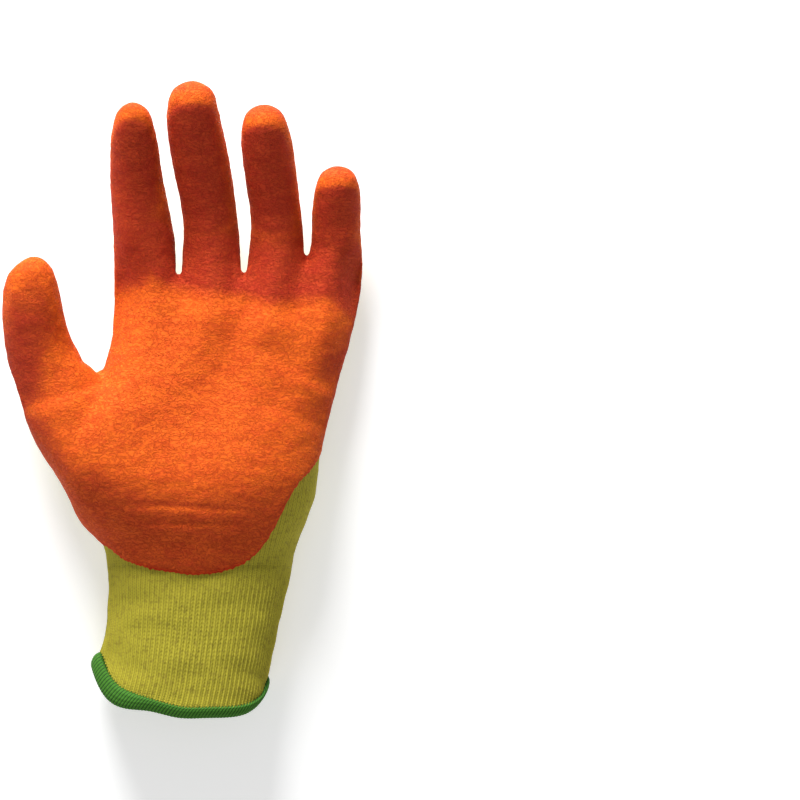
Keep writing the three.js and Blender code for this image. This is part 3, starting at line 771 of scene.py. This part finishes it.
def threadMaterial():
    made, tree, shader = newMaterial("overlock_thread")
    turns = addNode(tree, "ShaderNodeUVMap", uv_map="thread")
    parts = addNode(tree, "ShaderNodeSeparateXYZ", {0: turns.outputs[0]})
    wave = calc(tree, "COSINE", calc(tree, "MULTIPLY", parts.outputs["X"], 2 * math.pi))
    # painted shade where the turns of thread part
    gap = ramp(tree, wave, *threadLook["gapRange"])
    strands = calc(tree, "COSINE", calc(tree, "MULTIPLY", parts.outputs["Y"], threadLook["strands"]))
    between = calc(tree, "MULTIPLY", gap, threadLook["gapShadeShare"])
    shade = blendColours(tree, between, threadLook["lit"], threadLook["gap"])
    finishShader(tree, shader, threadLook, shade, strands)
    return made


knitFinish, latexFinish, threadFinish = knitMaterial(), latexMaterial(), threadMaterial()

# The liner: ribbed outside where it is bare, a plain inside, open at the cuff
liner = {
    "ribHeight": 0.13, "ribFade": 8, "sway": 0.22, "swaySize": 9,
    "unevenHeight": 0.14, "unevenSize": 3.5,
    "waveHeight": 0.6, "waveSize": 8, "waveStretch": 2.2, "waveFrom": 6, "waveOver": 10,
    "hemGrip": 8,  # length over which the knit comes out flat from under the hem
    "tuck": 0.25, "tuckDepth": 0.6, "hiddenDepth": 4.0,  # under the coat
    "wristLap": 1.5,
}


def ribbed(surface, ribHeight):
    points, normals = surface["points"], surface["normals"]
    sway = unevenness(points, liner["swaySize"]) * liner["sway"]
    rib = np.cos((surface["knit"][:, 0] + sway) * 2 * math.pi) * ribHeight
    rib *= smoothStep((cuffLength - points[:, 1]) / liner["ribFade"])
    rough = unevenness(points, liner["unevenSize"], seed=7) * liner["unevenHeight"]
    wave = unevenness(points, liner["waveSize"], liner["waveStretch"], seed=11) * liner["waveHeight"]
    rough += wave * smoothStep((points[:, 2] - liner["waveFrom"]) / liner["waveOver"])
    rough *= smoothStep(surface["knit"][:, 1] * courseHeight / liner["hemGrip"])
    under = np.where(surface["dip"] > liner["tuckDepth"], -liner["tuck"], 0)
    return points + normals * (rib + rough + under)[:, None]


def linerPiece(name, outer, inner, isOwn, ribHeight, nodes):
    isShown = isOwn(outer) & (outer["dip"][outer["faces"]].min(axis=1) < liner["hiddenDepth"])
    shown = outer["faces"][isShown]
    lining = isOwn(inner)
    inside = inner["points"] - inner["normals"] * knitWall
    lined = inner["faces"][lining][:, ::-1] + len(outer["points"])
    points = np.concatenate([ribbed(outer, ribHeight), inside])
    faces = np.concatenate([shown, lined])
    corners = np.concatenate([outer["corners"][isShown], inner["corners"][lining][:, ::-1]])
    used, numbered = np.unique(faces, return_inverse=True)
    made = addPiece(name, points[used], numbered.reshape(-1, 4), {"knit": corners}, knitFinish)
    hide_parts(*nodes)
    return made


def isHand(surface):
    return surface["points"][surface["faces"]][:, :, 1].max(axis=1) > cuffLength - liner["wristLap"]


def isCuff(surface):
    return surface["points"][surface["faces"]][:, :, 1].min(axis=1) < cuffLength


coarse = skinAt(3)
finest = skinAt(fine + 1)
linerPiece("liner_hand", skin, coarse, isHand, 0, knitNodes[1:])
linerPiece("liner_cuff", finest, coarse, isCuff, liner["ribHeight"], knitNodes[:1])
print("liner made")

# The latex coat: the skin inside the dip line, lifted off the knit and thinning to it
coat = {
    "lift": 0.85, "edgeLift": 0.3, "thinning": 1.6, "tuck": 0.5, "crotchReach": 7.0,
    "jagHeight": 0.55, "jagSize": 1.7, "stitchJag": 0.22,
    "looseHeight": 0.22, "looseSize": 4.5, "looseStretch": 1.5,
    "foldHeight": 0.13, "foldSize": 2.2, "foldStretch": 1.6, "cornerGap": 0.02,
    # painted shade, a deeper red: on the finger pads, where the coat slopes to the cuff away from the
    # key light, and on the tips, where it dims their lit side
    "padLap": 2, "padFade": 7, "padLength": 20, "padEnd": 18,
    "slopeFrom": 0.02, "slopeOver": 0.32, "heelShare": 0.5, "heelTop": 95, "heelFade": 40,
    "tipFrom": 0.2, "tipOver": 0.5, "tipFade": 10, "tipShare": 0.5,
    "sideOver": 0.4, "sideShare": 0.5,
}
# Where the painted shade of the finger pads starts, as shares of the palm's width and length
padShadeRoots = table(
    "across up",
    (-0.3, 1.14), (-0.2, 1.07), (-0.06, 0.98), (0.08, 0.96), (0.25, 0.95), (0.38, 0.92),
    (0.6, 0.94), (0.68, 0.88), (0.8, 0.72),
)


# How much painted shade, a deeper red, the coat has there, from nought to one
def paintedShadeAmount(points, normals):
    above = points[:, 1] - lineHeight(padShadeRoots, points[:, 0])
    pads = smoothStep((above + coat["padLap"]) / coat["padFade"])
    pads *= 1 - smoothStep((above - coat["padLength"]) / coat["padEnd"])
    slope = smoothStep((coat["slopeFrom"] - normals[:, 1]) / coat["slopeOver"])
    upHand = smoothStep((points[:, 1] - coat["heelTop"]) / coat["heelFade"])
    slope *= mix(coat["heelShare"], 1, upHand)
    facing = smoothStep(normals[:, 2] / coat["sideOver"] + coat["sideShare"])
    tips = smoothStep((normals[:, 1] - coat["tipFrom"]) / coat["tipOver"])
    tips *= smoothStep(above / coat["tipFade"]) * coat["tipShare"]
    return np.maximum(np.maximum(pads, slope) * facing, tips)


# Cuts faces at the line where the values cross nought. New points are shared by edge.
def cutAtNought(faces, values):
    kept, added, cuts = [], [], {}
    inside = values[faces] > 0
    whole = inside.all(axis=1)
    for ring in faces[inside.any(axis=1) & ~whole].tolist():
        out = []
        for k, a in enumerate(ring):
            b = ring[(k + 1) % len(ring)]
            if values[a] > 0:
                out.append(a)
            if (values[a] > 0) != (values[b] > 0):
                key = (min(a, b), max(a, b))
                if key not in cuts:
                    cuts[key] = len(values) + len(added)
                    low, high = values[key[0]], values[key[1]]
                    share = np.clip(low / (low - high), coat["cornerGap"], 1 - coat["cornerGap"])
                    added.append((*key, float(share)))
                out.append(cuts[key])
        kept.append(out)
    return faces[whole].tolist(), kept, added


def coatPiece():
    points, normals = skin["points"], skin["normals"]
    jag = unevenness(points, coat["jagSize"], seed=3) * coat["jagHeight"]
    jag += np.cos(skin["knit"][:, 0] * 2 * math.pi) * coat["stitchJag"]
    dip = skin["dip"] + jag
    whole, cut, added = cutAtNought(skin["faces"], dip)
    starts, ends, shares = (np.array(column) for column in zip(*added))
    starts, ends = starts.astype(int), ends.astype(int)
    share = shares[:, None]
    points = np.concatenate([points, mix(points[starts], points[ends], share)])
    normals = np.concatenate([normals, mix(normals[starts], normals[ends], share)])
    normals /= np.linalg.norm(normals, axis=1, keepdims=True)
    depth = np.concatenate([dip, np.zeros(len(added))])

    full = smoothStep(depth / coat["thinning"])
    lift = mix(coat["edgeLift"], coat["lift"], full)
    for crotch in crotches:
        near = np.exp(-(np.linalg.norm(points - crotch, axis=1) / coat["crotchReach"]) ** 2)
        lift -= near * (lift - coat["edgeLift"])
    loose = unevenness(points, coat["looseSize"], coat["looseStretch"]) * coat["looseHeight"]
    loose += unevenness(points, coat["foldSize"], coat["foldStretch"], seed=5) * coat["foldHeight"]
    # painted shade on the pads, slopes and tips, kept beside the depth in the dip layer
    paintedShade = paintedShadeAmount(points, normals)
    points = points + normals * (lift + loose * full)[:, None]

    faces = whole + cut
    seen = set()
    for ring in cut:
        for k, a in enumerate(ring):
            b = ring[(k + 1) % len(ring)]
            if a >= len(dip) and b >= len(dip):
                seen.add((a, b))
    rim = [(a, b) for a, b in seen if (b, a) not in seen]
    under = {v: len(points) + i for i, v in enumerate(sorted({v for edge in rim for v in edge}))}
    tucked = np.array([points[v] - normals[v] * (coat["edgeLift"] + coat["tuck"]) for v in under])
    faces += [[b, a, under[a], under[b]] for a, b in rim]
    points = np.concatenate([points, tucked])
    depth = np.concatenate([depth, np.zeros(len(under))])
    paintedShade = np.concatenate([paintedShade, np.zeros(len(under))])
    order = np.unique([v for face in faces for v in face])
    number = np.zeros(len(points), int)
    number[order] = np.arange(len(order))
    layer = [(depth[v], paintedShade[v]) for face in faces for v in face]
    faces = [number[face].tolist() for face in faces]
    made = addPiece("coat_skin", points[order], faces, {"dip": layer}, latexFinish)
    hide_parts("latex_coat")
    return made


coatPiece()
print("coat made")

# The overlocked edge: slanting turns of thread that wrap the cuff's end on both faces
hem = {
    "pitch": 1.3, "stepsPerTurn": 8, "stepsAcross": 33, "slant": 3.6,
    "threadHeight": 0.2, "threadFullness": 0.7, "endSharpness": 14,
    "upFrom": -0.1, "upOver": 0.7,
    "wideFrom": -26, "narrowFrom": -8, "narrowing": 0.34, "bevel": 0.35,
    "flare": 0.25, "puff": 0.5, "faceShare": 0.42, "jag": 0.6, "jagShare": 0.12,
}
# The band in section, from its edge on the outer face, over the cuff's end, to its edge
# inside: millimetres out of the skin and past the cuff's end
hemProfile = table(
    "out past",
    (0, -5.1), (0.7, -4.8), (1.15, -4.1), (1.35, -3.1), (1.3, -2), (1.1, -1), (0.75, -0.1),
    (0.2, 0.65), (-0.8, 1.05), (-1.9, 0.75), (-2.4, 0.1), (-2.52, -0.8), (-2.55, -2),
    (-2.52, -3.2), (-2.45, -4.3), (-2.2, -4.9), (-1.7, -5.1),
)


# The points round the open end, in order
def rimLoop(faces):
    edges = {(a, face[(k + 1) % 4]) for face in faces for k, a in enumerate(face)}
    following = {a: b for a, b in edges if (b, a) not in edges}
    start = min(following)
    loop = [start]
    while following[loop[-1]] != start:
        loop.append(following[loop[-1]])
    return loop


# The cuff's end in even steps: points, normals and the direction straight out of the cuff
def cuffEnd():
    faces = skin["faces"].tolist()
    loop = rimLoop(faces)
    rim, mates = set(loop), {}
    for face in faces:
        for k, v in enumerate(face):
            mates.setdefault(v, set()).update((face[k - 1], face[(k + 1) % 4]))
    above = [min(mates[v] - rim) for v in loop]
    points, normals = skin["points"][loop], skin["normals"][loop]
    outward = points - skin["points"][above]
    outward /= np.linalg.norm(outward, axis=1, keepdims=True)

    steps = np.linalg.norm(np.roll(points, -1, axis=0) - points, axis=1)
    travelled = np.concatenate([[0], np.cumsum(steps)])
    turns = round(travelled[-1] / hem["pitch"])
    count = turns * hem["stepsPerTurn"]
    samples = np.arange(count) * travelled[-1] / count

    def sampled(values):
        closed = np.concatenate([values, values[:1]])
        return np.stack([np.interp(samples, travelled, closed[:, i]) for i in range(3)], axis=1)

    return sampled(points), sampled(normals), sampled(outward)


def hemPiece():
    points, normals, outward = cuffEnd()
    rows = np.array([(row["out"], row["past"]) for row in hemProfile])
    keys = np.linspace(0, 1, hem["stepsAcross"])
    profile = np.stack(
        [np.interp(keys, np.linspace(0, 1, len(rows)), rows[:, i]) for i in range(2)], axis=1)
    flow = np.gradient(profile, axis=0)
    away = np.stack([flow[:, 1], -flow[:, 0]], axis=1)
    away /= np.linalg.norm(away, axis=1, keepdims=True)

    # the turns of thread stand up from the band and run out at its two edges
    turn = np.arange(len(points))[:, None] / hem["stepsPerTurn"] + keys[None, :] * hem["slant"]
    ridge = np.abs(np.cos(turn * math.pi)) ** hem["threadFullness"] * hem["threadHeight"]
    edges = smoothStep(np.minimum(keys, 1 - keys) * hem["endSharpness"])
    ridge = (ridge - hem["threadHeight"] / 2) * edges[None, :]
    out = profile[None, :, 0] + away[None, :, 0] * ridge
    past = profile[None, :, 1] + away[None, :, 1] * ridge

    # the band is widest at the thumb's side of the palm and rolls under elsewhere
    facesUp = smoothStep((normals[:, 2:3] - hem["upFrom"]) / hem["upOver"])
    roll = smoothStep((points[:, :1] - hem["wideFrom"]) / (hem["narrowFrom"] - hem["wideFrom"]))
    roll = roll * facesUp
    onFace = smoothStep(1 - keys / hem["faceShare"])[None, :]
    flare = (1 - roll) * facesUp * onFace
    height = -hemProfile[0]["past"]
    drop = np.clip((past + height) / height, 0, 1)
    past = past * (1 - roll * onFace * hem["narrowing"] + flare * hem["flare"])
    across = np.clip(keys / hem["faceShare"], 0, 1)
    out = out + flare * hem["puff"] * np.sin(across * math.pi)[None, :]
    out = out - roll * hem["bevel"] * drop * (keys < 0.5)[None, :]
    jag = smoothStep(1 - keys / hem["jagShare"])[None, :]
    past = past + np.cos(turn * 2 * math.pi) * hem["jag"] * jag
    grid = points[:, None, :] + normals[:, None, :] * out[..., None]
    grid = grid + outward[:, None, :] * past[..., None]
    around, wide = grid.shape[:2]
    faces, layer = [], []
    for i in range(around):
        j = (i + 1) % around
        for k in range(wide - 1):
            faces.append([i * wide + k, j * wide + k, j * wide + k + 1, i * wide + k + 1])
            first, last = turn[i], turn[i] + 1 / hem["stepsPerTurn"]
            layer += [(first[k], keys[k]), (last[k], keys[k]),
                      (last[k + 1], keys[k + 1]), (first[k + 1], keys[k + 1])]
    made = addPiece("hem_thread", grid.reshape(-1, 3), faces, {"thread": layer}, threadFinish)
    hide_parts("cuff_overlock")
    return made


hemPiece()
bpy.data.objects.remove(cageObject)
print("hem made")

# Pale floor, soft light from beyond the fingertips, and the photo's straight-down view
middle = (cadLow + cadHigh) / 2
studio = {
    "floor": colour(232, 232, 232),
    "floorGlow": 0.56,
    "floorReach": 6,
    "floorDrop": 0.0001,
    "sky": (0.85, 0.2),  # strength at the horizon and overhead
    "horizon": (0.05, 0.3),  # where the one gives way to the other
    "key": {"place": (-0.2, 0.9, 0.37), "size": 0.5, "power": 22.4},
    "fill": {"place": (0.1, -0.1, 1.3), "size": 1.2, "power": 1.0},
    "cuffSide": {"place": (-0.2, -0.9, 0.45), "size": 0.6, "power": 2.2},
    "viewWidth": 0.31,
    "viewHeight": 6.0,
    "viewCentre": (0.0843, -0.0001),
}


def addFloor():
    mesh = bpy.data.meshes.new("floor")
    reach, height = studio["floorReach"], -studio["floorDrop"]
    corners = [(-reach, -reach, height), (reach, -reach, height),
               (reach, reach, height), (-reach, reach, height)]
    mesh.from_pydata(corners, [], [[0, 1, 2, 3]])
    finish, tree, shader = newMaterial("floor")
    shader.inputs["Base Color"].default_value = studio["floor"]
    shader.inputs["Roughness"].default_value = 0.8
    shader.inputs["Emission Color"].default_value = studio["floor"]
    shader.inputs["Emission Strength"].default_value = studio["floorGlow"]
    mesh.materials.append(finish)
    made = bpy.data.objects.new("floor", mesh)
    bpy.context.scene.collection.objects.link(made)


# A round light at its place from the glove's middle, which it faces
def addLight(name):
    light = studio[name]
    lamp = bpy.data.lights.new(name, "AREA")
    lamp.shape, lamp.size, lamp.energy = "DISK", light["size"], light["power"]
    made = bpy.data.objects.new(name, lamp)
    made.location = middle + Vector(light["place"])
    made.rotation_mode = "QUATERNION"
    made.rotation_quaternion = (made.location - middle).to_track_quat("Z", "Y")
    bpy.context.scene.collection.objects.link(made)


addFloor()
for light in ("key", "fill", "cuffSide"):
    addLight(light)
world = bpy.data.worlds.new("studio")
world.use_nodes = True
sky = world.node_tree
up = addNode(sky, "ShaderNodeSeparateXYZ", {0: addNode(sky, "ShaderNodeTexCoord").outputs["Generated"]})
strength = addNode(sky, "ShaderNodeMapRange", {
    "Value": up.outputs["Z"], "From Min": studio["horizon"][0], "From Max": studio["horizon"][1],
    "To Min": studio["sky"][0], "To Max": studio["sky"][1],
}, interpolation_type="SMOOTHSTEP")
sky.nodes["Background"].inputs["Color"].default_value = (1, 1, 1, 1)
sky.links.new(strength.outputs[0], sky.nodes["Background"].inputs["Strength"])
bpy.context.scene.world = world
bpy.context.scene.view_settings.view_transform = "Standard"

lens = bpy.data.cameras.new("camera")
lens.sensor_width = 36
lens.lens = lens.sensor_width * (studio["viewHeight"] - middle.z) / studio["viewWidth"]
lens.clip_end = 20
camera = bpy.data.objects.new("camera", lens)
camera.location = (*studio["viewCentre"], studio["viewHeight"])
bpy.context.scene.collection.objects.link(camera)
bpy.context.scene.camera = camera

print("stage set")
